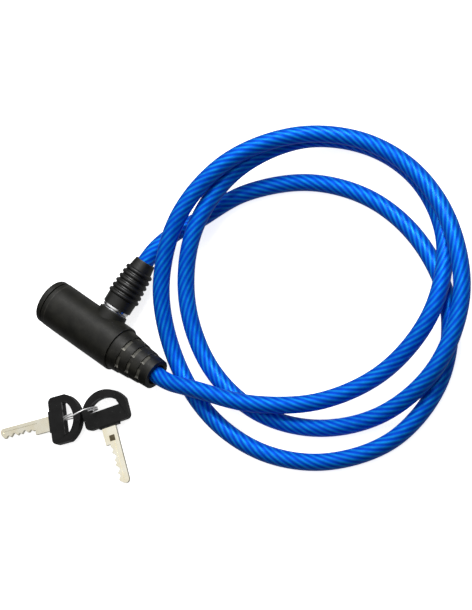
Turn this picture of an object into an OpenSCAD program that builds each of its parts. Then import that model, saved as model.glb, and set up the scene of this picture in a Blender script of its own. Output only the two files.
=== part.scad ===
// Cable lock: a barrel with a keyed core and a sliding latch, a steel plug on the free end
// of a looped, sheathed steel cable, and two keys on a split ring.
// Millimetres. The lock lies on the plane z = 0 with its barrel along X and its plug along +Y.

/* [Lock barrel] */
// Outer diameter of the barrel
barrel_d = 28; // [27:0.5:32]
// Wall of the barrel shell
shell_wall = 1.6; // [1.2:0.1:2]
// Diameter of the end cap
cap_d = 27.6; // [26:0.1:27.8]
// Length of the end cap
cap_l = 4.5; // [4.2:0.1:8]
// Rounding of the end cap's outer edge
cap_round = 1.4; // [0.5:0.1:2.5]
// Diameter of the key entry's recess in the end cap
key_entry_d = 11; // [10.8:0.1:13]
// Length of the end cap's spigot inside the shell
cap_spigot_l = 2.2; // [1.5:0.1:4]
// Diameter of the boss that holds the socket
boss_d = 17.5; // [16:0.5:20]
// Height of the boss above the barrel
boss_h = 2.2; // [1.5:0.1:4]
// Length of the housing that grips the cable's ferrule
tail_grip_l = 8; // [7.5:0.5:14]

/* [Tail boot] */
// Length of the tail boot
boot_l = 29; // [28:0.5:36]
// Diameter of the boot at the barrel
boot_d = 25.5; // [24:0.5:26.5]
// Diameter of the boot at the cable
boot_tip_d = 18.6; // [17:0.2:21]
// Rings that the boot is stepped into
boot_rings = 4; // [3:1:5]
// Step between two rings of the boot
boot_step = 0.35; // [0.2:0.05:0.5]
// Depth of the windows between the boot's rings
window_depth = 0.9; // [0.5:0.1:1.2]
// Width of the windows along the boot
window_w = 2.2; // [1.5:0.1:2.8]
// Windows round the boot
window_count = 6; // [4:1:8]
// Diameter of the recess round the cable
recess_d = 12.8; // [12.2:0.1:14]
// Depth of the recess round the cable
recess_l = 4; // [2:0.5:5]
// Length of the boot's spigot inside the shell
boot_spigot_l = 2.2; // [1.5:0.1:3]

/* [Keyed core] */
// Diameter of the core
core_d = 9.9; // [9.5:0.1:10.5]
// Length of the core up to its retaining clip
core_l = 24.8; // [22:0.2:28]
// Width of the keyway across the blade's edge
keyway_h = 6.6; // [6.4:0.1:7]
// Width of the keyway across the blade's thickness
keyway_w = 2.3; // [2.2:0.1:2.6]
// Wafers in the core
wafer_count = 5; // [4:1:6]
// Thickness of a wafer
wafer_t = 1; // [0.8:0.1:1.2]
// Width of a wafer
wafer_w = 5; // [4.6:0.1:5.2]
// Height of a wafer
wafer_h = 8.4; // [8:0.1:8.5]
// Thickness of the retaining clip
clip_t = 0.7; // [0.5:0.1:1]
// Thickness of the drive cam
cam_t = 1.1; // [0.8:0.1:1.5]
// Diameter of the drive cam's crank pin
crank_d = 1.8; // [1.5:0.1:2]

/* [Latch] */
// Thickness of the latch plate
latch_t = 2.4; // [2:0.1:3]
// Distance from the barrel's axis to the latch plate
latch_off = 3; // [2.8:0.1:3.5]
// Rim of the latch plate round its hole
latch_rim = 2.3; // [2:0.1:3]
// Travel of the latch from open to locked
latch_travel = 1.75; // [1.5:0.05:1.9]
// Thickness of the arm that the cam drives
arm_t = 1.8; // [1.4:0.1:2.2]
// Outer diameter of the latch spring
spring_d = 2.2; // [1.8:0.1:2.3]
// Wire diameter of the latch spring
spring_wire = 0.4; // [0.3:0.05:0.5]

/* [Plug] */
// Diameter of the plug pin
pin_d = 9; // [8:0.1:9.4]
// Length of the pin's nose ahead of its groove
nose_l = 4.7; // [4:0.1:5]
// Chamfer of the pin's nose
nose_chamfer = 0.9; // [0.5:0.1:1.5]
// Outer diameter of the socket bush
bush_d = 12.4; // [11.8:0.1:13]
// Depth of the socket bush in the housing
bush_l = 6.6; // [5:0.1:8]
// Diameter of the bush's flange
bush_flange_d = 15.6; // [14:0.1:16]
// Thickness of the bush's flange
bush_flange_t = 0.7; // [0.5:0.1:1.2]
// Diameter of the chrome collar
collar_d = 16.4; // [15:0.1:17.5]
// Thickness of the chrome collar
collar_t = 1.6; // [1.2:0.1:2.5]
// Diameter of the pin's head inside the sleeve
head_d = 14.4; // [13.4:0.1:15]
// Thickness of the pin's head
head_t = 2; // [1.5:0.1:3]
// Diameter of the pin's ferrule cup
cup_d = 12.6; // [12:0.1:13]
// Length of the pin's ferrule cup
cup_l = 13; // [11:0.5:14]
// Distance that the plug pulls out in its socket
plug_travel = 18; // [10:1:18]

/* [Plug sleeve] */
// Diameter of the sleeve at the collar
sleeve_d = 17.8; // [16.8:0.2:19]
// Diameter of the lowest rib
rib_low_d = 20; // [19:0.2:22]
// Diameter of the highest rib
rib_high_d = 17.4; // [16.8:0.2:19]
// Ribs on the sleeve
rib_count = 6; // [4:1:7]
// Distance from rib to rib
rib_pitch = 3.3; // [3:0.1:3.4]
// Radius of a rib's round crest
rib_round = 1.3; // [1:0.1:1.4]
// Length of the plain stretch below the ribs
plain_l = 6.6; // [4:0.2:8]
// Length of the neck above the ribs
neck_l = 6; // [4:0.1:8]
// Diameter of the neck at its root
neck_root_d = 14.4; // [13.8:0.2:15.4]
// Diameter of the neck at its mouth
neck_mouth_d = 12.4; // [12:0.2:13.6]

/* [Cable] */
// Diameter of the sheathed cable
cable_d = 10; // [9:0.5:10]
// Diameter of the steel rope inside the sheath
rope_d = 6.4; // [5:0.2:6.6]
// Diameter of the tail ferrule
ferrule_d = 12.4; // [11.8:0.1:12.5]
// Diameter of the tail ferrule's groove
ferrule_neck_d = 9.2; // [8.8:0.1:10]
// Length of the tail ferrule beyond the barrel
ferrule_out = 17; // [14:0.5:19]
// Diameter of the cross pin that holds the tail ferrule
cross_pin_d = 3; // [2.5:0.1:3.2]
// Diameter of the plug's ferrule
plug_ferrule_d = 10.4; // [9.6:0.1:10.6]
// Length of the plug's ferrule
plug_ferrule_l = 14; // [12:0.5:15]
// Length of sheath inside the plug's sleeve
sheath_in = 10.5; // [8:0.5:11]
// Sides of the cable's tube
cable_sides = 10; // [8:1:12]

/* [Keys] */
// Width of a key's bow
bow_w = 28.6; // [26:0.2:30]
// Thickness of a key's bow
bow_t = 4.5; // [4:0.1:5]
// Radius of the bow's round back
bow_back_r = 15.7; // [15:0.1:18]
// Distance from the slot to the bow's back
bow_back = 8.2; // [7:0.1:9]
// Distance from the slot to the bow's front
bow_front = 12.9; // [12:0.1:14]
// Rounding of the bow's edges
bow_round = 0.9; // [0.5:0.1:1.2]
// Length of the raised foot round the blade
foot_l = 1.3; // [0.8:0.1:2]
// Width of the raised foot
foot_w = 13; // [11:0.5:16]
// Length of the bow's slot
slot_l = 19; // [17:0.2:20]
// Width of the bow's slot
slot_w = 6.4; // [5.6:0.1:6.8]
// Width of the slot at its two ends
slot_end_w = 2; // [0.8:0.1:3]
// Thickness of a key's blade
blade_t = 2; // [1.8:0.1:2.1]
// Width of a key's blade
blade_w = 6.2; // [5.8:0.1:6.3]
// Distance from the slot to the blade's tip
blade_reach = 49; // [44:0.5:52]
// Width of the blade's shoulder
shoulder_w = 9; // [8:0.1:10]
// Distance from the slot to the end of the shoulder
shoulder_end = 24.4; // [22:0.2:26]
// Side of the square recess stamped in the shoulder
stamp_w = 3.5; // [2.5:0.1:4]
// Depth of the stamped recess and of the milled groove
stamp_depth = 0.35; // [0.2:0.05:0.6]
// Width of the milled groove along the blade
mill_w = 1; // [0.6:0.1:1.4]
// Height of the bows' undersides above the ground at their slots
bow_lift = 4; // [3:0.1:5]

/* [Split ring] */
// Mean diameter of the split ring
ring_d = 20; // [19:0.2:21]
// Thickness of the ring's wire across the ring
ring_wire = 1.4; // [1:0.1:1.5]
// Width of one turn of the ring
turn_w = 0.8; // [0.6:0.05:0.85]
// Distance between the ring's two turns, centre to centre
turn_pitch = 1.25; // [1.25:0.05:1.35]

/* [Clearances] */
// Radial clearance where one piece turns or slides in another
run_gap = 0.08; // [0.05:0.01:0.1]
// Radial clearance where one piece is seated in another
seat_gap = 0.05; // [0.03:0.01:0.1]
// Clearance round a piece that moves freely in a chamber
free_gap = 0.2; // [0.15:0.05:0.3]

/* [Hidden] */
$fn = 64;

// Colours
black_plastic = [0.09, 0.09, 0.085];
black_rubber = [0.07, 0.07, 0.065];
zinc = [0.62, 0.63, 0.65];
steel = [0.72, 0.73, 0.75];
chrome = [0.86, 0.87, 0.9];
brass = [0.8, 0.66, 0.36];
cable_blue = [0.02, 0.2, 0.75];
blade_silver = [0.88, 0.85, 0.72];

// Barrel stations along X, from the end cap to the tail boot
shell_x0 = -47;
shell_r = barrel_d / 2;
shell_bore_r = shell_r - shell_wall;
housing_r = shell_bore_r - seat_gap;
core_r = core_d / 2;
pin_r = pin_d / 2;
core_inset = 0.2;
core_x0 = shell_x0 + core_inset;
housing_x0 = shell_x0 + cap_spigot_l + seat_gap;
chamber_x0 = core_x0 + core_l;
groove_x1 = chamber_x0 + clip_t + 2 * seat_gap;
core_land_l = 0.6;
land_x1 = groove_x1 + core_land_l;
cam_x0 = land_x1 + seat_gap;
cam_x1 = cam_x0 + cam_t;
arm_x0 = cam_x1 + free_gap;
arm_x1 = arm_x0 + arm_t;
arm_wall = 0.67;
plug_x = arm_x1 + free_gap + arm_wall + run_gap + pin_r;
latch_half = plug_x - arm_x0;
tail_wall = 1.55;
ferrule_x0 = plug_x + latch_half + free_gap + tail_wall;
shell_x1 = ferrule_x0 + tail_grip_l;
housing_x1 = shell_x1 - boot_spigot_l - seat_gap;
ferrule_x1 = shell_x1 + ferrule_out;
boot_x1 = shell_x1 + boot_l;

// Where the barrel's axis lies
axis_y = 17;
axis_z = shell_r;

// Core, clip and cam
clip_groove_r = core_r - 0.85;
clip_r = core_r + 1.05;
clip_mouth = 3;
cam_r = core_r - 0.35;
cam_square = 4;
cam_face_t = cam_t / 2;
chamber_r = clip_r + free_gap;
crank_r = crank_d / 2;
crank_out = latch_travel / sqrt(2);
wafer_lead = 3;
wafer_tail = 1.2;
wafer_pitch = (core_l - wafer_lead - wafer_tail) / wafer_count;
// Each wafer has an ear in a pocket at the core's side, with its spring below the ear
ear_w = 1;
ear_root = 0.5;
ear_z = 1.3;
pocket_half = 2.2;
wafer_spring_r = ear_w / 2 - seat_gap;
wafer_spring_l = ear_z + pocket_half - 2 * seat_gap;

// Latch: the crank pin starts above the axis and ends as far below it
hole_r = pin_r + free_gap;
latch_half_h = hole_r + latch_rim;
pin_neck_r = hole_r - latch_travel - free_gap;
crank_z = crank_out * sin(45);
arm_slot_h = crank_d + run_gap * 3;
arm_y0 = crank_z - crank_r - run_gap - 1;
arm_h = arm_slot_h + 4;
spring_y = latch_off + latch_t / 2;
spring_z0 = latch_half_h + seat_gap + spring_wire / 2;
spring_z1 = sqrt(pow(shell_bore_r, 2) - pow(spring_y + spring_d / 2, 2)) - seat_gap - spring_wire / 2;
spring_turns = 4;

// Plug stations along its own axis, from the barrel's axis outwards
boss_y = shell_r + boss_h;
boss_r = boss_d / 2;
bush_y1 = boss_y + bush_flange_t;
collar_y0 = bush_y1 + 0.5;
sleeve_y0 = collar_y0 + collar_t;
groove_side = 0.3;
pin_groove_y0 = latch_off - groove_side;
pin_groove_y1 = latch_off + latch_t + groove_side;
nose_y = pin_groove_y0 - nose_l;
cup_y0 = sleeve_y0 + head_t;
cup_y1 = cup_y0 + cup_l;
cup_base = 3;
cup_floor = cup_y0 + cup_base;
rib_y0 = sleeve_y0 + plain_l + rib_round;
neck_y0 = rib_y0 + (rib_count - 1) * rib_pitch + rib_round;
sleeve_y1 = neck_y0 + neck_l;
sheath_y = sleeve_y1 - sheath_in;
sleeve_bore_r = cable_d / 2 + 0.3;

// Tail: the cross pin lies in the ferrule's groove
ferrule_r = ferrule_d / 2;
rope_r = rope_d / 2;
cross_pin_r = cross_pin_d / 2;
cross_pin_x = ferrule_x0 + cross_pin_r + 1.6;
cross_pin_y = ferrule_neck_d / 2 + cross_pin_r + seat_gap;
cross_pin_half = sqrt(pow(housing_r, 2) - pow(cross_pin_y + cross_pin_r, 2)) - free_gap;

// Keys and ring, as they lie beside the barrel
key_1_at = [-2.8, -33.9];
key_1_heading = -136;
key_2_at = [11.4, -15.6];
key_2_heading = -40.5;
key_z = bow_lift + bow_t / 2;
key_tilt = asin((key_z - blade_t / 2 - seat_gap) / blade_reach);
cut_side = 2.3;
blade_edge = cut_side - blade_w;
shoulder_side = blade_edge + shoulder_w;
tang_l = 9;
tang_w = 7;
ring_at = [3.9, -27.8];
ring_heading = 50;
ring_lean = 12.5;
ring_out_r = (ring_d + ring_wire) / 2;
ring_half_w = (turn_w + turn_pitch) / 2;
ring_z = ring_out_r * cos(ring_lean) + ring_half_w * sin(ring_lean);

// Route of the cable's centre line: the first and the last span are straight and lie inside
// the boot and the sleeve; the rest is a smooth curve that lies in loops on the ground
route = [[22, 17, 14], [34, 17, 14], [45, 18, 15], [59, 22.4, 16.4], [97.5, 35.5, 15.5],
         [131.5, 59.5, 12], [154, 94.5, 11], [160.5, 136, 16.1], [142.5, 173, 13],
         [107, 193.5, 7.5], [66.5, 195, 5.2], [30.5, 177.5, 11.3], [9.5, 142.5, 20],
         [8.5, 101.5, 23.5], [24, 64, 14.5], [55.5, 38.5, 6], [97, 32, 5], [136.5, 45, 5.5],
         [167, 73.5, 9.5], [181.5, 112, 16.9], [172.5, 152.5, 19.8], [144, 182.5, 21],
         [105, 197.5, 18], [64, 195.5, 16.5], [29.5, 176.5, 23.2], [6, 142.5, 30.7],
         [-1, 101, 30.4], [9, 61, 20], [34.5, 31, 7.2], [73.5, 14.5, 5], [115, 15, 5],
         [152.5, 32.5, 5], [179, 65, 5], [183, 106, 5], [163.5, 142.5, 5], [128, 164.5, 5],
         [87, 170.5, 5], [47, 159.5, 5], [15, 134, 5], [-1, 105, 7.2], [-7.5, 91.5, 10.6],
         [-10.9, 79, 13.3], [-12, 68, 14], [-12, 57.2, 14]];
// Route point at which the looped cable hands over to the lead of the plug
lead_from = 34;
rings_per_span = 2;

// ---- helpers ----

module along_axis() translate([0, axis_y, axis_z]) children();

// Local Z runs along the barrel
module along_x(x) along_axis() translate([x, 0, 0]) rotate([0, 90, 0]) children();

// Local Z runs out along the plug
module along_plug(y) translate([plug_x, axis_y + y, axis_z]) rotate([-90, 0, 0]) children();

module tube(r_out, r_in, l) difference() {
    cylinder(r = r_out, h = l);
    translate([0, 0, -1]) cylinder(r = r_in, h = l + 2);
}

function unit(v) = v / norm(v);

function spline(p0, p1, p2, p3, t) =
    0.5 * (2 * p1 + (p2 - p0) * t + (2 * p0 - 5 * p1 + 4 * p2 - p3) * t * t
           + (3 * p1 - p0 - 3 * p2 + p3) * t * t * t);

function above_ground(p) = [p[0], p[1], max(p[2], cable_d / 2)];

// Centres of the cable's rings: the two ends of the straight spans, and the curve between
cable_path = concat(
    [route[0]],
    [for (i = [1 : len(route) - 3]) for (k = [0 : rings_per_span - 1])
        above_ground(spline(route[i - 1], route[i], route[i + 1], route[i + 2], k / rings_per_span))],
    [route[len(route) - 2], route[len(route) - 1]]);
lead_ring = 1 + (lead_from - 1) * rings_per_span;

// Least gap between two stretches of a tube: points along its centre line, each compared
// with those that lie at least the given length further on
function finer(path, steps) = [for (i = [0 : len(path) - 2]) for (k = [0 : steps - 1])
    path[i] + (path[i + 1] - path[i]) * k / steps];
function least_gap(points, apart, diameter) =
    min([for (i = [0 : len(points) - 1 - apart])
        min([for (j = [i + apart : len(points) - 1]) norm(points[i] - points[j])])]) - diameter;

function heading_at(path, i) =
    i <= 1 ? unit(path[1] - path[0])
    : i >= len(path) - 2 ? unit(path[len(path) - 1] - path[len(path) - 2])
    : unit(path[i + 1] - path[i - 1]);

function ring_points(c, dir, outline) =
    let (side = unit(cross(dir, [0, 0, 1])), up = cross(side, dir))
    [for (q = outline) c + side * q[0] + up * q[1]];

function round_outline(r, sides) =
    [for (k = [0 : sides - 1]) r * [cos(360 * k / sides), sin(360 * k / sides)]];

// One closed tube through rings of points
module skin_of(rings) {
    n = len(rings[0]);
    last = len(rings) - 1;
    points = [for (ring = rings) for (p = ring) p];
    sides = [for (i = [0 : last - 1]) for (k = [0 : n - 1])
        let (a = i * n + k, b = i * n + (k + 1) % n) each [[a, b, b + n], [a, b + n, a + n]]];
    caps = [for (k = [1 : n - 2]) each [[0, k + 1, k], [last * n, last * n + k, last * n + k + 1]]];
    polyhedron(points = points, faces = concat(sides, caps));
}

module cable_tube(from, to)
    skin_of([for (i = [from : to])
        ring_points(cable_path[i], heading_at(cable_path, i), round_outline(cable_d / 2, cable_sides))]);

// ---- barrel ----

module barrel_shell() color(black_plastic) difference() {
    union() {
        along_x(shell_x0) cylinder(r = shell_r, h = shell_x1 - shell_x0);
        along_plug(0) cylinder(r = boss_r, h = boss_y);
    }
    along_x(shell_x0 - 1) cylinder(r = shell_bore_r, h = shell_x1 - shell_x0 + 2);
    along_plug(0) cylinder(r = bush_d / 2 + seat_gap, h = boss_y + 1);
}

module end_cap() color(black_plastic) along_x(shell_x0 - cap_l) difference() {
    union() {
        rotate_extrude() {
            translate([0, cap_round]) square([cap_d / 2, cap_l - cap_round]);
            square([cap_d / 2 - cap_round, cap_l]);
            translate([cap_d / 2 - cap_round, cap_round]) circle(r = cap_round);
        }
        cylinder(r = shell_bore_r - seat_gap, h = cap_l + cap_spigot_l);
    }
    // Recess of the key entry, and behind it the bore that the core's front end turns in
    translate([0, 0, -1]) cylinder(d = key_entry_d, h = cap_l + 1);
    cylinder(r = core_r + seat_gap, h = cap_l + cap_spigot_l + 1);
}

module boot_outline() {
    ring_l = boot_l / boot_rings;
    taper = (boot_d - boot_tip_d) / 2 - boot_step * (boot_rings - 1);
    for (i = [0 : boot_rings - 1]) {
        r0 = boot_d / 2 - i * (taper / boot_rings + boot_step);
        polygon([[0, i * ring_l - (i > 0 ? 0.01 : 0)], [r0, i * ring_l - (i > 0 ? 0.01 : 0)],
                 [r0 - taper / boot_rings, (i + 1) * ring_l], [0, (i + 1) * ring_l]]);
    }
}

module tail_boot() color(black_rubber) along_x(shell_x1) {
    ring_l = boot_l / boot_rings;
    ring_drop = (boot_d - boot_tip_d) / 2 / boot_rings;
    first_window = 62;
    window_turn = 39;
    difference() {
        union() {
            rotate_extrude() boot_outline();
            translate([0, 0, -boot_spigot_l]) cylinder(r = shell_bore_r - seat_gap, h = boot_spigot_l + 1);
        }
        for (i = [1 : boot_rings - 1]) {
            floor_r = boot_d / 2 - i * ring_drop - window_depth;
            for (k = [0 : window_count - 1])
                rotate([0, 0, 90 + first_window - window_turn / 2 + k * 360 / window_count])
                    translate([0, 0, i * ring_l - 0.4])
                        rotate_extrude(angle = window_turn)
                            translate([floor_r, 0]) square([4, window_w]);
        }
        translate([0, 0, -boot_spigot_l - 1])
            cylinder(r = ferrule_r + seat_gap, h = ferrule_out + boot_spigot_l + 1);
        cylinder(r = sleeve_bore_r, h = boot_l + 1);
        translate([0, 0, boot_l - recess_l]) cylinder(d = recess_d, h = recess_l + 1);
    }
}

module socket_bush() color(steel) along_plug(0) difference() {
    union() {
        translate([0, 0, boss_y - bush_l]) cylinder(d = bush_d, h = bush_l + bush_flange_t);
        translate([0, 0, boss_y]) cylinder(d = bush_flange_d, h = bush_flange_t);
    }
    translate([0, 0, boss_y - bush_l - 1]) cylinder(r = pin_r + run_gap, h = bush_l + bush_flange_t + 2);
}

module lock_housing() color(zinc) difference() {
    along_x(housing_x0) cylinder(r = housing_r, h = housing_x1 - housing_x0);
    // Bore of the core
    along_x(housing_x0 - 1) cylinder(r = core_r + seat_gap, h = chamber_x0 - housing_x0 + 1.01);
    // Chamber of the clip and the cam, open upwards
    along_x(chamber_x0) cylinder(r = chamber_r, h = arm_x0 - chamber_x0);
    along_axis() translate([chamber_x0, -chamber_r, 0])
        cube([arm_x0 - chamber_x0, 2 * chamber_r, shell_r]);
    // Chamber of the arm, open upwards
    along_axis() translate([arm_x0 - free_gap, arm_y0 - free_gap, crank_z - arm_h / 2 - latch_travel - free_gap])
        cube([arm_t + 2 * free_gap, latch_off - arm_y0 + 2 * free_gap, 2 * shell_r]);
    // Slot of the latch plate, open upwards
    along_axis() translate([arm_x0 - free_gap, latch_off - free_gap, -latch_half_h - latch_travel - free_gap])
        cube([2 * latch_half + 2 * free_gap, latch_t + 2 * free_gap, 2 * shell_r]);
    // Bore of the plug, and the wider seat of its bush
    along_plug(nose_y - free_gap) cylinder(r = pin_r + run_gap, h = shell_r + 4);
    along_plug(boss_y - bush_l - seat_gap) cylinder(r = bush_d / 2 + seat_gap, h = bush_l + 1);
    // Bore of the tail ferrule and its cross pin
    along_x(ferrule_x0 - seat_gap) cylinder(r = ferrule_r + seat_gap, h = tail_grip_l + 1);
    translate([cross_pin_x, axis_y + cross_pin_y, 0])
        cylinder(r = cross_pin_r + seat_gap, h = barrel_d);
}

// ---- keyed core ----

module wafer_places()
    for (i = [0 : wafer_count - 1])
        translate([core_x0 + wafer_lead + i * wafer_pitch, 0, 0]) children();

module key_core() color(brass) along_axis() difference() {
    union() {
        translate([core_x0, 0, 0]) rotate([0, 90, 0]) cylinder(r = core_r, h = core_l);
        translate([core_x0, 0, 0]) rotate([0, 90, 0]) cylinder(r = clip_groove_r, h = land_x1 - core_x0);
        translate([groove_x1, 0, 0]) rotate([0, 90, 0]) cylinder(r = core_r, h = core_land_l);
        translate([land_x1 - 0.5, -cam_square / 2, -cam_square / 2])
            cube([cam_x1 - cam_face_t - seat_gap - land_x1 + 0.5, cam_square, cam_square]);
    }
    translate([core_x0 - 1, -keyway_w / 2, -keyway_h / 2]) cube([core_l + 1, keyway_w, keyway_h]);
    wafer_places() {
        translate([-seat_gap, -wafer_w / 2 - seat_gap, -core_d])
            cube([wafer_t + 2 * seat_gap, wafer_w + 2 * seat_gap, 2 * core_d]);
        translate([-seat_gap, wafer_w / 2, -pocket_half])
            cube([wafer_t + 2 * seat_gap, ear_w + seat_gap, 2 * pocket_half]);
    }
}

module wafer_set() color(brass) along_axis() wafer_places() {
    difference() {
        translate([0, -wafer_w / 2, -wafer_h / 2]) cube([wafer_t, wafer_w, wafer_h]);
        translate([-1, -keyway_w / 2, -keyway_h / 2]) cube([wafer_t + 2, keyway_w, keyway_h]);
    }
    translate([0, wafer_w / 2 - ear_root, ear_z])
        cube([wafer_t, ear_root + ear_w - 2 * seat_gap, pocket_half - ear_z - 2 * seat_gap]);
}

module wafer_springs() color(steel) along_axis() wafer_places()
    translate([wafer_t / 2, wafer_w / 2 + ear_w / 2, seat_gap - pocket_half])
        cylinder(r = wafer_spring_r, h = wafer_spring_l, $fn = 24);

module core_clip() color(steel) along_x(chamber_x0 + seat_gap) difference() {
    tube(clip_r, clip_groove_r + seat_gap, clip_t);
    translate([-clip_mouth / 2, 0, -1]) cube([clip_mouth, clip_r + 1, clip_t + 2]);
}

module drive_cam() color(steel) along_axis() {
    difference() {
        translate([cam_x0, 0, 0]) rotate([0, 90, 0]) cylinder(r = cam_r, h = cam_t);
        translate([cam_x0 - 1, -cam_square / 2 - seat_gap, -cam_square / 2 - seat_gap])
            cube([cam_t - cam_face_t + 1, cam_square + 2 * seat_gap, cam_square + 2 * seat_gap]);
    }
    translate([cam_x1 - 0.1, crank_z, crank_z]) rotate([0, 90, 0]) cylinder(r = crank_r, h = 0.1 + free_gap + arm_t);
}

// ---- latch ----

module latch_plate() color(steel) difference() {
    union() {
        along_axis() translate([arm_x0, latch_off, -latch_half_h])
            cube([2 * latch_half, latch_t, 2 * latch_half_h]);
        along_axis() translate([arm_x0, arm_y0, crank_z - arm_h / 2])
            cube([arm_t, latch_off - arm_y0 + 0.5, arm_h]);
    }
    along_plug(0) cylinder(r = hole_r, h = latch_off + latch_t + 1);
    along_axis() translate([arm_x0 - 1, crank_z - crank_r - run_gap, crank_z - arm_slot_h / 2])
        cube([arm_t + 2, crank_out - crank_z + crank_d + 2 * run_gap, arm_slot_h]);
}

module latch_spring() color(steel) {
    steps = 12;
    coil_r = (spring_d - spring_wire) / 2;
    rise = spring_z1 - spring_z0;
    path = [for (i = [0 : spring_turns * steps])
        let (a = 360 * i / steps, t = i / (spring_turns * steps))
        [plug_x + coil_r * cos(a), axis_y + spring_y + coil_r * sin(a), axis_z + spring_z0 + rise * t]];
    echo(latch_spring_least_gap_mm = least_gap(path, steps / 2, spring_wire));
    skin_of([for (i = [0 : len(path) - 1])
        let (dir = unit(path[min(i + 1, len(path) - 1)] - path[max(i - 1, 0)]))
        ring_points(path[i], dir, round_outline(spring_wire / 2, 6))]);
}

// ---- cable ends ----

module tail_ferrule() color(steel) along_x(ferrule_x0) difference() {
    tube(ferrule_r, rope_r + seat_gap, ferrule_x1 - ferrule_x0);
    translate([0, 0, cross_pin_x - ferrule_x0 - cross_pin_r - seat_gap])
        tube(ferrule_r + 1, ferrule_neck_d / 2, cross_pin_d + 2 * seat_gap);
}

module ferrule_pin() color(steel)
    translate([cross_pin_x, axis_y + cross_pin_y, axis_z - cross_pin_half])
        cylinder(r = cross_pin_r, h = 2 * cross_pin_half);

module tail_rope_end() color(steel) along_x(ferrule_x0)
    cylinder(r = rope_r, h = ferrule_x1 - ferrule_x0);

module plug_ferrule() color(steel) along_plug(cup_floor + seat_gap)
    tube(plug_ferrule_d / 2, rope_r + seat_gap, plug_ferrule_l);

module plug_rope_end() color(steel) along_plug(cup_floor + seat_gap)
    cylinder(r = rope_r, h = sheath_y - cup_floor - seat_gap);

// ---- plug ----

module plug_pin() color(chrome) along_plug(0) difference() {
    union() {
        translate([0, 0, nose_y]) cylinder(r1 = pin_r - nose_chamfer, r2 = pin_r, h = nose_chamfer);
        translate([0, 0, nose_y + nose_chamfer]) cylinder(r = pin_r, h = sleeve_y0 - nose_y);
        translate([0, 0, sleeve_y0]) cylinder(d = head_d, h = head_t);
        translate([0, 0, sleeve_y0]) cylinder(d = cup_d, h = head_t + cup_l);
    }
    translate([0, 0, pin_groove_y0]) tube(pin_r + 1, pin_neck_r, pin_groove_y1 - pin_groove_y0);
    translate([0, 0, cup_floor]) cylinder(r = plug_ferrule_d / 2 + seat_gap, h = cup_l);
}

module plug_collar() color(chrome) along_plug(collar_y0) tube(collar_d / 2, pin_r + seat_gap, collar_t);

module sleeve_outline() {
    rib_x = neck_y0 - rib_round;
    polygon([[0, 0], [sleeve_d / 2, 0], [rib_low_d / 2 - rib_round, rib_y0 - sleeve_y0],
             [rib_high_d / 2 - rib_round, rib_x - sleeve_y0],
             [rib_high_d / 2 - rib_round, neck_y0 - sleeve_y0],
             [neck_root_d / 2, neck_y0 - sleeve_y0], [neck_mouth_d / 2, sleeve_y1 - sleeve_y0],
             [0, sleeve_y1 - sleeve_y0]]);
    for (i = [0 : rib_count - 1])
        translate([(rib_low_d + (rib_high_d - rib_low_d) * i / (rib_count - 1)) / 2 - rib_round,
                   rib_y0 - sleeve_y0 + i * rib_pitch])
            circle(r = rib_round, $fn = 20);
}

module plug_sleeve() color(black_rubber) along_plug(sleeve_y0) difference() {
    rotate_extrude() sleeve_outline();
    translate([0, 0, -1]) cylinder(d = head_d + 2 * seat_gap, h = head_t + seat_gap + 1);
    translate([0, 0, -1]) cylinder(d = cup_d + 2 * seat_gap, h = head_t + cup_l + seat_gap + 1);
    cylinder(r = sleeve_bore_r, h = sleeve_y1);
}

// ---- cable ----

module cable_loops() {
    echo(cable_least_gap_mm = least_gap(finer(cable_path, 8), 24, cable_d));
    color(cable_blue) cable_tube(0, lead_ring);
}

module cable_lead() color(cable_blue) cable_tube(lead_ring, len(cable_path) - 1);

// ---- keys: local X runs from the slot to the blade's tip ----

module place_key(at, heading)
    translate([at[0], at[1], key_z]) rotate([0, 0, heading]) rotate([0, key_tilt, 0]) children();

module bow_outline(inset) {
    corner = 3;
    half = bow_w / 2 - inset;
    front = bow_front - inset;
    intersection() {
        translate([bow_back_r - bow_back, 0]) circle(r = bow_back_r - inset, $fn = 48);
        union() {
            translate([-bow_back, -half]) square([bow_back + front - corner, 2 * half]);
            translate([-bow_back, -half + corner]) square([bow_back + front, 2 * (half - corner)]);
            for (s = [-1, 1])
                translate([front - corner, s * (half - corner)]) circle(r = corner, $fn = 24);
        }
    }
}

module key_bow() color(black_plastic) {
    skin = 0.01;
    difference() {
        union() {
            hull() {
                translate([0, 0, -bow_t / 2]) linear_extrude(skin) bow_outline(bow_round);
                translate([0, 0, -bow_t / 2 + bow_round]) linear_extrude(bow_t - 2 * bow_round) bow_outline(0);
                translate([0, 0, bow_t / 2 - skin]) linear_extrude(skin) bow_outline(bow_round);
            }
            translate([bow_front - 1, -foot_w / 2, -bow_t / 2 + bow_round / 2])
                cube([foot_l + 1, foot_w, bow_t - bow_round]);
        }
        // Half-moon slot: flat towards the blade, round towards the back
        slot_rise = slot_w - slot_end_w;
        slot_r = (pow(slot_l / 2, 2) + pow(slot_rise, 2)) / (2 * slot_rise);
        translate([0, 0, -bow_t]) linear_extrude(2 * bow_t) intersection() {
            translate([slot_r - slot_w / 2, 0]) circle(r = slot_r, $fn = 96);
            translate([-slot_w / 2 - 1, -slot_l / 2]) square([slot_w + 1, slot_l]);
        }
        translate([bow_front + foot_l - tang_l, -tang_w / 2 - seat_gap, -blade_t / 2 - seat_gap])
            cube([tang_l + 1, tang_w + 2 * seat_gap, blade_t + 2 * seat_gap]);
    }
}

// Distance from the slot and depth of each cut in the blade's edge
blade_cuts = [[27.6, 1], [32, 1.8], [35.6, 0.9], [39.6, 1.9], [43.8, 1.2]];

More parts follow.
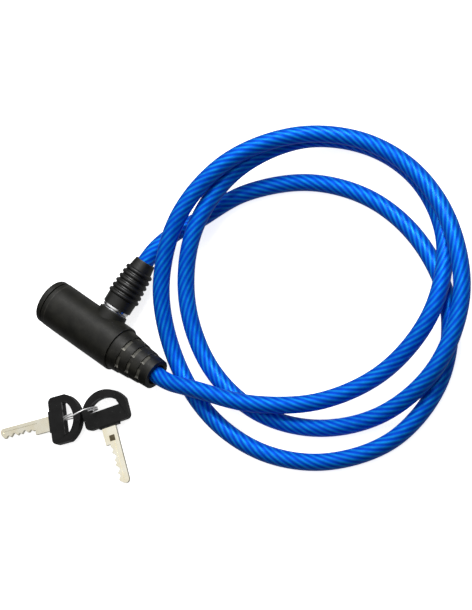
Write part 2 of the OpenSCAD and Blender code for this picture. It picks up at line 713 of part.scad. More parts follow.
module key_blade() color(blade_silver) difference() {
    tip_round = 2.4;
    tip_x = blade_reach - tip_round;
    tip_y = blade_edge + tip_round;
    tip_slope = tip_round * sin(45);
    union() {
        translate([bow_front + foot_l - tang_l + seat_gap, -tang_w / 2, -blade_t / 2])
            cube([tang_l, tang_w, blade_t]);
        translate([bow_front + foot_l, blade_edge, -blade_t / 2])
            cube([shoulder_end - bow_front - foot_l, shoulder_w, blade_t]);
        translate([shoulder_end - 1, blade_edge, -blade_t / 2])
            cube([tip_x - shoulder_end + 1, blade_w, blade_t]);
        translate([tip_x, tip_y, -blade_t / 2]) cylinder(r = tip_round, h = blade_t);
        translate([0, 0, -blade_t / 2]) linear_extrude(blade_t)
            polygon([[tip_x - 0.5, tip_y], [tip_x + tip_slope, tip_y + tip_slope],
                     [tip_x, cut_side], [tip_x - 0.5, cut_side]]);
    }
    for (cut = blade_cuts)
        translate([cut[0], cut_side, -blade_t]) linear_extrude(2 * blade_t)
            polygon([[-cut[1] - 0.5, 0.01], [-0.4, -cut[1]], [0.4, -cut[1]], [cut[1] + 0.5, 0.01],
                     [cut[1] + 0.5, 1], [-cut[1] - 0.5, 1]]);
    translate([bow_front + foot_l + 5, -stamp_w / 2, blade_t / 2 - stamp_depth])
        cube([stamp_w, stamp_w, stamp_depth + 1]);
    for (s = [-1, 1])
        translate([shoulder_end - 2, blade_edge + 2.2, s * blade_t / 2 - stamp_depth])
            cube([blade_reach - shoulder_end, mill_w, 2 * stamp_depth]);
}

module key_1_bow() place_key(key_1_at, key_1_heading) key_bow();
module key_1_blade() place_key(key_1_at, key_1_heading) key_blade();
module key_2_bow() place_key(key_2_at, key_2_heading) key_bow();
module key_2_blade() place_key(key_2_at, key_2_heading) mirror([0, 1, 0]) key_blade();

// Two turns of flat wire side by side; the wire steps from one to the other over a short arc
module split_ring() color(chrome)
    translate([ring_at[0], ring_at[1], ring_z]) rotate([0, 0, ring_heading]) rotate([ring_lean, 0, 0]) {
    steps = 24;
    step_from = 315;
    step_turn = 40;
    start = 100;
    edge = 0.25;
    section = [[-ring_wire / 2, -turn_w / 2 + edge], [-ring_wire / 2 + edge, -turn_w / 2],
               [ring_wire / 2 - edge, -turn_w / 2], [ring_wire / 2, -turn_w / 2 + edge],
               [ring_wire / 2, turn_w / 2 - edge], [ring_wire / 2 - edge, turn_w / 2],
               [-ring_wire / 2 + edge, turn_w / 2], [-ring_wire / 2, turn_w / 2 - edge]];
    line = [for (i = [0 : 2 * steps - 4])
        let (turn = 360 * i / steps, a = start + turn,
             across = turn_pitch * (min(max((turn - step_from) / step_turn, 0), 1) - 0.5))
        [ring_d / 2 * cos(a), -across, ring_d / 2 * sin(a)]];
    echo(split_ring_least_gap_mm = least_gap(line, steps / 2, turn_w));
    skin_of([for (c = line) [for (q = section) let (out = unit([c[0], 0, c[2]])) c + out * q[0] - [0, q[1], 0]]]);
}

barrel_shell();
end_cap();
tail_boot();
lock_housing();
socket_bush();
key_core();
wafer_set();
wafer_springs();
core_clip();
drive_cam();
latch_plate();
latch_spring();
tail_ferrule();
ferrule_pin();
tail_rope_end();
plug_pin();
plug_collar();
plug_ferrule();
plug_rope_end();
plug_sleeve();
cable_loops();
cable_lead();
key_1_blade();
key_1_bow();
key_2_blade();
key_2_bow();
split_ring();
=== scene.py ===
# %% [markdown]
# # A keyed cable lock
# The lock is a black barrel with a keyed core in one end and a long blue cable out of the other.
# The cable lies in loops and comes back to the barrel's side, where its plug sits in a socket.
# Two keys hang on a split ring beside it.
#
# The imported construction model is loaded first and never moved. Pieces whose shape is already
# right keep their solid and get a finish. The pieces that show most are made again here, finer.

import math

import bmesh
import bpy
from mathutils import Matrix, Vector
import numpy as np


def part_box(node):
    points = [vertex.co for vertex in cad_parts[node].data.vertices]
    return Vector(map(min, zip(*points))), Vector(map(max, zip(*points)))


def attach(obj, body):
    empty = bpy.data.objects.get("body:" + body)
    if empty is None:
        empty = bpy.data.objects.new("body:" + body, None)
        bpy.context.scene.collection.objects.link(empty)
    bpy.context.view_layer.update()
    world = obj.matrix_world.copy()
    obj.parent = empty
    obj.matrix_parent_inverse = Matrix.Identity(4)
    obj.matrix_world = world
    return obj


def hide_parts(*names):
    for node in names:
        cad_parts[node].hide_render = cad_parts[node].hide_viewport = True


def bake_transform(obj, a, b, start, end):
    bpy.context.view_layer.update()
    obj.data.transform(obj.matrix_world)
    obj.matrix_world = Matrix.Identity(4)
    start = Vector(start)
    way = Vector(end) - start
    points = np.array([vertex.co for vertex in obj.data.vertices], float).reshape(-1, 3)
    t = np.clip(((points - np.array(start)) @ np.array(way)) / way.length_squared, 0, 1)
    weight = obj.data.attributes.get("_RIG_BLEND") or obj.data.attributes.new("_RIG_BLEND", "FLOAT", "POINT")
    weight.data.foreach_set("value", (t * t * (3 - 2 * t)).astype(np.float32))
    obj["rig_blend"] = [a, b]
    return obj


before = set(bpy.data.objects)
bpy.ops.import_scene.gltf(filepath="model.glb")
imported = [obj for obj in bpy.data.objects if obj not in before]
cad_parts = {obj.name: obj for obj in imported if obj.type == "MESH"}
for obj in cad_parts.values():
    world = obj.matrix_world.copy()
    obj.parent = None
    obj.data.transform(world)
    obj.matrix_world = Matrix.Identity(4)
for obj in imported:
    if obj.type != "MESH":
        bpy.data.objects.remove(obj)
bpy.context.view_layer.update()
mm = 0.001

# %% [markdown]
# ## Camera and light
# The camera looks down on the lock from far away through a long lens, so that lines stay almost
# parallel. Its axes are written as three unit vectors: right, up and back. A camera could also be
# aimed with a Track To constraint, but three vectors leave no doubt about its roll.
# %% Camera


def new_object(name, data):
    """A new object with this data, in the scene."""
    made = bpy.data.objects.new(name, data)
    bpy.context.scene.collection.objects.link(made)
    return made


target = Vector((0.051297, 0.076504, 0.010))
back = Vector((0.45, 0.06, 0.89101)).normalized()
right = Vector((0.73729, 0.53801, -0.40859)).normalized()
up = back.cross(right).normalized()
right = up.cross(back).normalized()
camera_distance = 2.0

lens = bpy.data.cameras.new("view_lens")
lens.lens = 203.6
lens.sensor_width = 36.0
lens.sensor_fit = "AUTO"
lens.clip_start = 0.1
lens.clip_end = 20.0
view = new_object("view", lens)
view.matrix_world = Matrix.Translation(target + back * camera_distance) @ Matrix(
    (right, up, back)
).transposed().to_4x4()
bpy.context.scene.camera = view
print("camera at", [round(c, 4) for c in view.location])

# %% [markdown]
# The view transform decides how bright values are shown. The filmic kinds keep detail in very
# bright light, but they also wash out strong colours. A product on white paper needs its blue as
# it is, so the plain Standard transform is used, and the light is kept low enough for it.
# %% View transform
bpy.context.scene.view_settings.view_transform = "Standard"

# %% [markdown]
# Light and finishes are trees of nodes. Each helper here adds one node, sets it and wires it.
# %% Node helpers


def feed(tree, socket, value):
    """Sets a socket to a number or a colour, or links it to another socket."""
    if isinstance(value, bpy.types.NodeSocket):
        tree.links.new(value, socket)
    elif isinstance(value, tuple):
        socket.default_value = (*value, 1.0)
    else:
        socket.default_value = value


def math_node(tree, operation, a, b=None):
    """One Math node; a and b are numbers or sockets. Gives its output socket."""
    node = tree.nodes.new("ShaderNodeMath")
    node.operation = operation
    for socket, value in zip(node.inputs, (a, b)):
        if value is not None:
            feed(tree, socket, value)
    return node.outputs[0]


def between(tree, value, low, high, to_low=0.0, to_high=1.0):
    """Stretches a value from one range to another and stops at its ends."""
    node = tree.nodes.new("ShaderNodeMapRange")
    for socket, number in zip(node.inputs[1:5], (low, high, to_low, to_high)):
        socket.default_value = number
    tree.links.new(value, node.inputs["Value"])
    return node.outputs[0]


# %% [markdown]
# The light is that of a product table: one big soft lamp above and behind, and a sky like a wide
# cloth that hangs overhead, tilted to the lamp's side, with a dark room round it. A round piece
# mirrors the cloth on one side and the dark room on the other, which is what shows its
# roundness. Below the horizon the sky is a little brighter again, as the paper would look.
# %% Lamps and sky


def soft_lamp(name, towards, distance, size, power):
    """A square area lamp that shines on the middle of the lock from the given direction."""
    data = bpy.data.lights.new(name, "AREA")
    data.shape = "SQUARE"
    data.size = size
    data.energy = power
    lamp = new_object(name, data)
    direction = Vector(towards).normalized()
    lamp.matrix_world = Matrix.Translation(target + direction * distance) @ (
        direction.to_track_quat("Z", "Y").to_matrix().to_4x4()
    )


soft_lamp("key_lamp", towards=(-0.17, 0.62, 0.77), distance=1.4, size=0.7, power=15.5)

sky = bpy.data.worlds.new("studio")
bpy.context.scene.world = sky
sky.use_nodes = True
nodes, links = sky.node_tree.nodes, sky.node_tree.links
nodes.clear()
where = nodes.new("ShaderNodeTexCoord")
split = nodes.new("ShaderNodeSeparateXYZ")
links.new(where.outputs["Generated"], split.inputs[0])
cloth_towards = Vector((-0.2, 0.28, 0.94)).normalized()
tilted = nodes.new("ShaderNodeVectorMath")
tilted.operation = "DOT_PRODUCT"
tilted.inputs[1].default_value = cloth_towards
links.new(where.outputs["Generated"], tilted.inputs[0])
cloth = between(sky.node_tree, tilted.outputs["Value"], 0.38, 0.92, 0.03, 1.25)
below_horizon = between(sky.node_tree, split.outputs["Z"], -0.05, -0.4, 0.0, 0.4)
brighter = math_node(sky.node_tree, "MAXIMUM", cloth, below_horizon)
shine = nodes.new("ShaderNodeBackground")
out = nodes.new("ShaderNodeOutputWorld")
links.new(brighter, shine.inputs["Strength"])
links.new(shine.outputs[0], out.inputs[0])

# %% [markdown]
# The table is white paper that glows a little itself, so that it stays white and the shadows on
# it stay faint. It is hidden from reflections, or every round piece would have a white underside.
# %% Table
table_half, table_drop = 3.0, 0.3 * mm

bm = bmesh.new()
bmesh.ops.create_grid(bm, x_segments=1, y_segments=1, size=table_half)
bmesh.ops.translate(bm, verts=bm.verts, vec=(0, 0, -table_drop))
table_mesh = bpy.data.meshes.new("table")
bm.to_mesh(table_mesh)
bm.free()
table = new_object("table", table_mesh)
table.visible_diffuse = False
table.visible_glossy = False

paper = bpy.data.materials.new("white_paper")
paper.use_nodes = True
sheet = paper.node_tree.nodes["Principled BSDF"]
sheet.inputs["Base Color"].default_value = (0.93, 0.93, 0.93, 1)
sheet.inputs["Roughness"].default_value = 0.9
sheet.inputs["Specular IOR Level"].default_value = 0.1
sheet.inputs["Emission Color"].default_value = (1, 1, 1, 1)
sheet.inputs["Emission Strength"].default_value = 0.8
table_mesh.materials.append(paper)

# %% [markdown]
# ## Finishes
# An effect that several finishes share is a node group, built once. The first is the fine grain
# of a spark-eroded mould, which every black moulding has: small pits that scatter the light,
# cloudy patches that are a little paler, and a few specks. Another way would be an image of
# grain, but noise on Object coordinates has no seams and keeps its real scale on every piece.
# %% More node helpers


def new_group(name, inputs, outputs):
    """An empty shader group with these (name, kind, default) inputs and (name, kind) outputs."""
    group = bpy.data.node_groups.new(name, "ShaderNodeTree")
    for label, kind, default in inputs:
        socket = group.interface.new_socket(label, in_out="INPUT", socket_type="NodeSocket" + kind)
        if default is not None:
            socket.default_value = default
    for label, kind in outputs:
        group.interface.new_socket(label, in_out="OUTPUT", socket_type="NodeSocket" + kind)
    return group, group.nodes.new("NodeGroupInput"), group.nodes.new("NodeGroupOutput")


def noise_node(tree, vector, scale, detail=2.0, roughness=0.5):
    """A noise of this scale, a number or a socket. Gives its value socket."""
    node = tree.nodes.new("ShaderNodeTexNoise")
    node.inputs["Detail"].default_value = detail
    node.inputs["Roughness"].default_value = roughness
    feed(tree, node.inputs["Scale"], scale)
    tree.links.new(vector, node.inputs["Vector"])
    return node.outputs[0]


def mix_colour(tree, factor, a, b):
    """Mixes two colours, each a tuple or a socket."""
    node = tree.nodes.new("ShaderNodeMix")
    node.data_type = "RGBA"
    for socket, value in ((node.inputs[0], factor), (node.inputs[6], a), (node.inputs[7], b)):
        feed(tree, socket, value)
    return node.outputs[2]


# %% Grain of a moulding
grain, gin, gout = new_group(
    "moulded_grain",
    [("Vector", "Vector", None), ("Grain Size", "Float", 0.0004), ("Patch Size", "Float", 0.007)],
    [("Height", "Float"), ("Patches", "Float"), ("Specks", "Float")],
)
place = gin.outputs["Vector"]
per_grain = math_node(grain, "DIVIDE", 1.0, gin.outputs["Grain Size"])
per_patch = math_node(grain, "DIVIDE", 1.0, gin.outputs["Patch Size"])
cloud = noise_node(grain, place, per_patch, 5.0, 0.62)
grain.links.new(noise_node(grain, place, per_grain, 3.0), gout.inputs["Height"])
grain.links.new(between(grain, cloud, 0.36, 0.66), gout.inputs["Patches"])
specks = noise_node(grain, place, 900.0, 1.0)
grain.links.new(between(grain, specks, 0.70, 0.78), gout.inputs["Specks"])

# %% [markdown]
# Metal that has been turned or polished carries very fine lines and a few handling marks. The
# second group makes both: a noise that is stretched along one axis, and broad soft smudges.
# %% Marks on metal
marks, gin, gout = new_group(
    "metal_marks",
    [("Vector", "Vector", None), ("Line Size", "Float", 0.0002)],
    [("Height", "Float"), ("Smudge", "Float")],
)
stretch = marks.nodes.new("ShaderNodeMapping")
stretch.inputs["Scale"].default_value = (1.0, 1.0, 0.12)
marks.links.new(gin.outputs["Vector"], stretch.inputs["Vector"])
per_line = math_node(marks, "DIVIDE", 1.0, gin.outputs["Line Size"])
marks.links.new(noise_node(marks, stretch.outputs[0], per_line, 4.0), gout.inputs["Height"])
smudge = noise_node(marks, gin.outputs["Vector"], 180.0, 3.0)
marks.links.new(between(marks, smudge, 0.35, 0.65), gout.inputs["Smudge"])

# %% [markdown]
# Edges are handled most, so they rub pale first; the pale edge is partly that wear and partly a painted
# highlight, as a rounded edge catches the light. Each finer piece carries an attribute named edge, which is
# 1 on its rounded edges. The third group breaks that mask up with noise, so that the rubbing and its painted
# highlight come and go along an edge.
# %% Rubbed edges and painted edge highlight
wear_and_highlight, gin, gout = new_group(
    "rubbed_and_highlit_edges",
    [("Vector", "Vector", None), ("Edge", "Float", 0.0), ("Amount", "Float", 0.6)],
    [("Mask", "Float")],
)
broken = between(wear_and_highlight, noise_node(wear_and_highlight, gin.outputs["Vector"], 420.0, 4.0, 0.6), 0.38, 0.62)
# The rounded edges, where wear and a painted highlight go.
on_edge = math_node(wear_and_highlight, "MULTIPLY", gin.outputs["Edge"], broken)
wear_and_highlight.links.new(math_node(wear_and_highlight, "MULTIPLY", on_edge, gin.outputs["Amount"]), gout.inputs["Mask"])

# %% [markdown]
# Every black moulding is one recipe with other numbers, and so is every metal. The recipe is a
# function, so that a change to it reaches every piece.
# %% Black mouldings


def start_material(name):
    """A new material, with its node tree and its shader."""
    material = bpy.data.materials.new(name)
    material.use_nodes = True
    tree = material.node_tree
    return material, tree, tree.nodes["Principled BSDF"]


def add_group(tree, group, vector, **values):
    """A shader group on these coordinates, with its other inputs given by name."""
    node = tree.nodes.new("ShaderNodeGroup")
    node.node_tree = group
    tree.links.new(vector, node.inputs["Vector"])
    for label, value in values.items():
        node.inputs[label.replace("_", " ")].default_value = value
    return node


def add_bump(tree, shader, height, distance):
    """Lets a height stand out from the surface by at most this distance, in metres."""
    bump = tree.nodes.new("ShaderNodeBump")
    bump.inputs["Distance"].default_value = distance
    bump.inputs["Strength"].default_value = 1.0
    tree.links.new(height, bump.inputs["Height"])
    tree.links.new(bump.outputs[0], shader.inputs["Normal"])


def rub_and_highlight_mask(tree, place, amount):
    """The rubbed edges of a piece, with their painted highlight, as a mask."""
    edge = tree.nodes.new("ShaderNodeAttribute")
    edge.attribute_name = "edge"
    worn_and_lit = add_group(tree, wear_and_highlight, place, Amount=amount)
    tree.links.new(edge.outputs["Fac"], worn_and_lit.inputs["Edge"])
    return worn_and_lit.outputs["Mask"]


def moulded(name, dark, pale, rub_and_highlight, rough, grain_size, depth, specular):
    """Black moulded plastic or rubber: two tones in patches, specks, rubbed edges with a painted highlight,
    and grain.
    """
    material, tree, shader = start_material(name)
    place = tree.nodes.new("ShaderNodeTexCoord").outputs["Object"]
    group = add_group(tree, grain, place, Grain_Size=grain_size)
    body = mix_colour(tree, group.outputs["Patches"], dark, pale)
    dusty = mix_colour(tree, math_node(tree, "MULTIPLY", group.outputs["Specks"], 0.25), body, rub_and_highlight)
    # Pale on rounded edges: partly wear, partly a painted highlight.
    edged = mix_colour(tree, rub_and_highlight_mask(tree, place, 0.7), dusty, rub_and_highlight)
    tree.links.new(edged, shader.inputs["Base Color"])
    spread = between(tree, group.outputs["Patches"], 0.0, 1.0, *rough)
    tree.links.new(spread, shader.inputs["Roughness"])
    shader.inputs["Specular IOR Level"].default_value = specular
    add_bump(tree, shader, group.outputs["Height"], depth)
    return material


# Each pale edge colour below is partly wear and partly a painted edge highlight.
barrel_black = moulded(
    "barrel_black", dark=(0.008, 0.008, 0.0065), pale=(0.017, 0.0165, 0.0132),
    rub_and_highlight=(0.05, 0.048, 0.041), rough=(0.48, 0.38), grain_size=0.00045, depth=0.00003, specular=0.27,
)
boot_black = moulded(
    "boot_black", dark=(0.004, 0.004, 0.003), pale=(0.018, 0.0175, 0.0135),
    rub_and_highlight=(0.14, 0.135, 0.115), rough=(0.5, 0.4), grain_size=0.0005, depth=0.00004, specular=0.27,
)
# The window floors: a paler grey that is painted light, as if lit.
window_painted_light = moulded(
    "window_painted_light", dark=(0.058, 0.056, 0.046), pale=(0.1, 0.097, 0.08),
    rub_and_highlight=(0.22, 0.21, 0.18), rough=(0.5, 0.4), grain_size=0.0005, depth=0.00003, specular=0.3,
)
# The window ramps: paler still, a painted highlight.
ramp_painted_highlight = moulded(
    "ramp_painted_highlight", dark=(0.12, 0.117, 0.1), pale=(0.29, 0.28, 0.24),
    rub_and_highlight=(0.42, 0.41, 0.36), rough=(0.35, 0.25), grain_size=0.0005, depth=0.00002, specular=0.5,
)
sleeve_black = moulded(
    "sleeve_black", dark=(0.004, 0.004, 0.004), pale=(0.015, 0.015, 0.0135),
    rub_and_highlight=(0.1, 0.1, 0.092), rough=(0.42, 0.32), grain_size=0.0005, depth=0.00003, specular=0.42,
)
bow_black = moulded(
    "bow_black", dark=(0.005, 0.005, 0.005), pale=(0.009, 0.009, 0.009),
    rub_and_highlight=(0.11, 0.11, 0.112), rough=(0.44, 0.34), grain_size=0.00035, depth=0.00001, specular=0.2,
)

# %% Metals


def metal(name, dark, pale, rub_and_highlight, rough, line_size, depth, metallic=1.0):
    """Bare or plated metal: two close tones in smudges, rubbed edges and fine lines."""
    material, tree, shader = start_material(name)
    place = tree.nodes.new("ShaderNodeTexCoord").outputs["Object"]
    group = add_group(tree, marks, place, Line_Size=line_size)
    body = mix_colour(tree, group.outputs["Smudge"], dark, pale)
    edged = mix_colour(tree, rub_and_highlight_mask(tree, place, 0.8), body, rub_and_highlight)
    tree.links.new(edged, shader.inputs["Base Color"])
    spread = between(tree, group.outputs["Smudge"], 0.0, 1.0, *rough)
    tree.links.new(spread, shader.inputs["Roughness"])
    shader.inputs["Metallic"].default_value = metallic
    add_bump(tree, shader, group.outputs["Height"], depth)
    return material


chrome = metal(
    "chrome_plate", dark=(0.84, 0.85, 0.86), pale=(0.94, 0.94, 0.95), rub_and_highlight=(0.97, 0.97, 0.97),
    rough=(0.14, 0.22), line_size=0.0003, depth=0.000001,
)
steel = metal(
    "turned_steel", dark=(0.42, 0.43, 0.45), pale=(0.58, 0.59, 0.61), rub_and_highlight=(0.75, 0.75, 0.75),
    rough=(0.28, 0.42), line_size=0.00015, depth=0.000004,
)
zinc = metal(
    "die_cast_zinc", dark=(0.38, 0.38, 0.4), pale=(0.52, 0.52, 0.54), rub_and_highlight=(0.6, 0.6, 0.6),
    rough=(0.45, 0.6), line_size=0.0005, depth=0.00001,
)
brass = metal(
    "turned_brass", dark=(0.55, 0.4, 0.16), pale=(0.72, 0.55, 0.26), rub_and_highlight=(0.85, 0.7, 0.4),
    rough=(0.22, 0.38), line_size=0.00015, depth=0.000003,
)
nickel = metal(
    "key_nickel", dark=(0.93, 0.86, 0.66), pale=(1.0, 0.96, 0.81), rub_and_highlight=(1.0, 0.98, 0.9),
    rough=(0.16, 0.28), line_size=0.0002, depth=0.000003,
)
ring_plate = metal(
    "ring_plate", dark=(0.9, 0.9, 0.9), pale=(0.98, 0.98, 0.98), rub_and_highlight=(1.0, 1.0, 1.0),
    rough=(0.32, 0.42), line_size=0.0003, depth=0.000001, metallic=0.65,
)
# A darker brown, for the floor of the stamp's recess.
stamped = metal(
    "stamped_recess", dark=(0.12, 0.1, 0.06), pale=(0.24, 0.2, 0.12), rub_and_highlight=(0.3, 0.25, 0.16),
    rough=(0.4, 0.55), line_size=0.0003, depth=0.00001,
)
print("finishes:", len(bpy.data.materials))

# %% [markdown]
# ## The cable
# The real cable is a rope of steel strands in a clear blue plastic sheath. The sheath acts as a
# round lens, so the strands seem to fill the whole width, as slanting bright streaks. Both could
# be modelled, a glass tube round a rope, but such a tube is slow to light and mirrors the table.
# Here one tube has the sheath's shape, and its finish carries the rope: a helical pattern on the
# UV map for the colour and a bump under a smooth clear coat.
#
# The centre line goes through the same points as the construction model, in metres. The first
# and the last stretch are straight, inside the boot and the sleeve.
# %% Centre line
ROUTE = [
    (0.022, 0.017, 0.014), (0.034, 0.017, 0.014), (0.045, 0.018, 0.015),
    (0.059, 0.0224, 0.0164), (0.0975, 0.0355, 0.0155), (0.1315, 0.0595, 0.012),
    (0.154, 0.0945, 0.011), (0.1605, 0.136, 0.0161), (0.1425, 0.173, 0.013),
    (0.107, 0.1935, 0.0075), (0.0665, 0.195, 0.0052), (0.0305, 0.1775, 0.0113),
    (0.0095, 0.1425, 0.020), (0.0085, 0.1015, 0.0235), (0.024, 0.064, 0.0145),
    (0.0555, 0.0385, 0.006), (0.097, 0.032, 0.005), (0.1365, 0.045, 0.0055),
    (0.167, 0.0735, 0.0095), (0.1815, 0.112, 0.0169), (0.1725, 0.1525, 0.0198),
    (0.144, 0.1825, 0.021), (0.105, 0.1975, 0.018), (0.064, 0.1955, 0.0165),
    (0.0295, 0.1765, 0.0232), (0.006, 0.1425, 0.0307), (-0.001, 0.101, 0.0304),
    (0.009, 0.061, 0.020), (0.0345, 0.031, 0.0072), (0.0735, 0.0145, 0.005),
    (0.115, 0.015, 0.005), (0.1525, 0.0325, 0.005), (0.179, 0.065, 0.005),
    (0.183, 0.106, 0.005), (0.1635, 0.1425, 0.005), (0.128, 0.1645, 0.005),
    (0.087, 0.1705, 0.005), (0.047, 0.1595, 0.005), (0.015, 0.134, 0.005),
    (-0.001, 0.105, 0.0072), (-0.0075, 0.0915, 0.0106), (-0.0109, 0.079, 0.0133),
    (-0.012, 0.068, 0.014), (-0.012, 0.0572, 0.014),
]
LEAD_FROM = 34  # the point of the route where the lead begins
STEPS = 10  # from one point of the route to the next
cable_d = 0.010


def smooth_point(p0, p1, p2, p3, t):
    """A point of the smooth curve between p1 and p2."""
    return 0.5 * (
        2 * p1 + (p2 - p0) * t + (2 * p0 - 5 * p1 + 4 * p2 - p3) * t * t
        + (3 * p1 - p0 - 3 * p2 + p3) * t * t * t
    )


points = [Vector(p) for p in ROUTE]
line = [points[0]]
for i in range(1, len(points) - 2):
    if i == LEAD_FROM:
        lead_index = len(line)
    for k in range(STEPS):
        p = smooth_point(*points[i - 1 : i + 3], k / STEPS)
        p.z = max(p.z, cable_d / 2)
        line.append(p)
line += [points[-2], points[-1]]


def length_of(path):
    return sum((b - a).length for a, b in zip(path, path[1:]))


loops_line, lead_line = line[: lead_index + 1], line[lead_index:]
print("cable length", round(length_of(line), 4), "loops", round(length_of(loops_line), 4))

# %% [markdown]
# A tube along a line is a circle that is extruded from point to point. Each new ring is turned by
# the smallest rotation from the last direction to the next, so that the tube doesn't twist and
# the helix stays even. The tube's UV map runs round it once and counts metres along it.
# %% Tube along a line


def directions(path):
    """The heading of the line at each of its points."""
    out = []
    for i in range(len(path)):
        ahead = path[min(i + 1, len(path) - 1)]
        behind = path[max(i - 1, 0)]
        out.append((ahead - behind).normalized())
    return out


def tube_along(path, radius, sides, start_at=0.0):
    """A closed tube whose UV map is (share of a turn, metres along)."""
    bm = bmesh.new()
    round_tag = bm.verts.layers.float.new("round")
    along_tag = bm.verts.layers.float.new("along")
    heading = directions(path)
    turn = heading[0].to_track_quat("Z", "Y")
    ring = bmesh.ops.create_circle(bm, cap_ends=True, radius=radius, segments=sides)["verts"]
    bmesh.ops.rotate(bm, verts=ring, cent=(0, 0, 0), matrix=turn.to_matrix())
    bmesh.ops.translate(bm, verts=ring, vec=path[0])
    for k, v in enumerate(ring):
        v[round_tag] = k / sides
        v[along_tag] = start_at
    edges = bm.edges[:]
    along = start_at
    for i in range(1, len(path)):
        along += (path[i] - path[i - 1]).length
        grown = bmesh.ops.extrude_edge_only(bm, edges=edges)["geom"]
        ring = [g for g in grown if isinstance(g, bmesh.types.BMVert)]
        edges = [g for g in grown if isinstance(g, bmesh.types.BMEdge)]
        swing = heading[i - 1].rotation_difference(heading[i]).to_matrix()
        bmesh.ops.translate(bm, verts=ring, vec=path[i] - path[i - 1])
        bmesh.ops.rotate(bm, verts=ring, cent=path[i], matrix=swing)
        for v in ring:
            v[along_tag] = along
    bmesh.ops.contextual_create(bm, geom=edges)
    bmesh.ops.recalc_face_normals(bm, faces=bm.faces)
    uv = bm.loops.layers.uv.new("UVMap")
    for face in bm.faces:
        shares = [loop.vert[round_tag] for loop in face.loops]
        over_seam = len(face.verts) == 4 and max(shares) - min(shares) > 0.5
        for loop, share in zip(face.loops, shares):
            wrapped = share + 1.0 if over_seam and share < 0.5 else share
            loop[uv].uv = (wrapped, loop.vert[along_tag])
    return bm


SHARP_ANGLE = math.radians(35)


def as_object(name, bm, *materials):
    """Turns a bmesh into an object with these materials and puts it in the scene."""
    mesh = bpy.data.meshes.new(name)
    for face in bm.faces:
        face.smooth = True
    bm.to_mesh(mesh)
    bm.free()
    mesh.set_sharp_from_angle(angle=SHARP_ANGLE)
    for material in materials:
        mesh.materials.append(material)
    return new_object(name, mesh)


# %% [markdown]
# The strands: the phase goes up by one from strand to strand, and is the same along a helix. Its fraction,
# bent into an arch, is the height of a strand. Each strand is itself a twist of fine wires, which adds thin
# lines, and a painted light on it comes and goes in patches.
# %% Strand pattern
wires_per_strand, wire_lay, wire_height = 4.0, 0.012, 0.05

strands, gin, gout = new_group(
    "strand_pattern",
    [("Vector", "Vector", None), ("Place", "Vector", None), ("Strands", "Float", 10.0),
     ("Lay", "Float", 0.0625)],
    [("Height", "Float"), ("Crest", "Float"), ("Patches", "Float")],
)
split = strands.nodes.new("ShaderNodeSeparateXYZ")
strands.links.new(gin.outputs["Vector"], split.inputs[0])
turns_along = math_node(strands, "DIVIDE", split.outputs["Y"], gin.outputs["Lay"])
phase = math_node(
    strands, "MULTIPLY", math_node(strands, "SUBTRACT", split.outputs["X"], turns_along),
    gin.outputs["Strands"],
)
wave = math_node(strands, "COSINE", math_node(strands, "MULTIPLY", phase, 2 * math.pi))
arch = between(strands, wave, 1.0, -1.0)
wire_phase = math_node(
    strands, "ADD", math_node(strands, "MULTIPLY", phase, wires_per_strand),
    math_node(strands, "DIVIDE", split.outputs["Y"], wire_lay),
)
wires = math_node(strands, "SINE", math_node(strands, "MULTIPLY", wire_phase, 2 * math.pi))
# Patches where the painted highlight on the strands comes and goes.
highlight_patches = noise_node(strands, gin.outputs["Place"], 210.0, 3.0)
strands.links.new(
    math_node(strands, "ADD", arch, math_node(strands, "MULTIPLY", wires, wire_height)),
    gout.inputs["Height"],
)
strands.links.new(math_node(strands, "POWER", arch, 1.6), gout.inputs["Crest"])
strands.links.new(between(strands, highlight_patches, 0.3, 0.7), gout.inputs["Patches"])

# %% [markdown]
# The sheath's colour is deep blue between the strands and bright blue on their crests; the bright crests are
# partly the strands' own pattern and partly a painted highlight along each strand. Part of the light comes
# back from the steel, tinted by the plastic, so the finish is partly metallic, and the strands' bump gives
# it streaks where they face the lamp. The coat over it stays smooth.
# %% Blue sheath
sheath_blue, tree, shader = start_material("sheath_blue")
coords = tree.nodes.new("ShaderNodeTexCoord")
rope = add_group(tree, strands, coords.outputs["UV"])
tree.links.new(coords.outputs["Object"], rope.inputs["Place"])
# Crests bright blue, dimmed in patches: the strands' pattern with a painted highlight.
crest_and_highlight = math_node(
    tree, "MULTIPLY", rope.outputs["Crest"],
    between(tree, rope.outputs["Patches"], 0.0, 1.0, 0.4, 1.0),
)
colour = mix_colour(tree, crest_and_highlight, (0.0, 0.058, 0.64), (0.006, 0.3, 0.83))
tree.links.new(colour, shader.inputs["Base Color"])
finish = {
    "Metallic": 0.3, "Roughness": 0.42, "Specular IOR Level": 0.5,
    "Specular Tint": (0.05, 0.5, 1.0, 1.0), "Coat Weight": 0.06, "Coat Roughness": 0.15,
    "Coat IOR": 1.4,
}
for label, value in finish.items():
    shader.inputs[label].default_value = value
add_bump(tree, shader, rope.outputs["Height"], 0.00013)

# %% Cable pieces
tube_sides = 40
loops_length, lead_length = length_of(loops_line), length_of(lead_line)
bm = tube_along(loops_line, cable_d / 2, tube_sides)
blue_loops = as_object("blue_loops", bm, sheath_blue)
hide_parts("cable_loops")
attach(blue_loops, "root")

bm = tube_along(lead_line, cable_d / 2, tube_sides, start_at=loops_length)
blue_lead = as_object("blue_lead", bm, sheath_blue)
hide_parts("cable_lead")
sleeve_mouth = (-0.012, 0.0677, 0.014)
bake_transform(blue_lead, "root", "plug", start=tuple(lead_line[0]), end=sleeve_mouth)
print("tubes:", len(blue_loops.data.polygons), len(blue_lead.data.polygons))

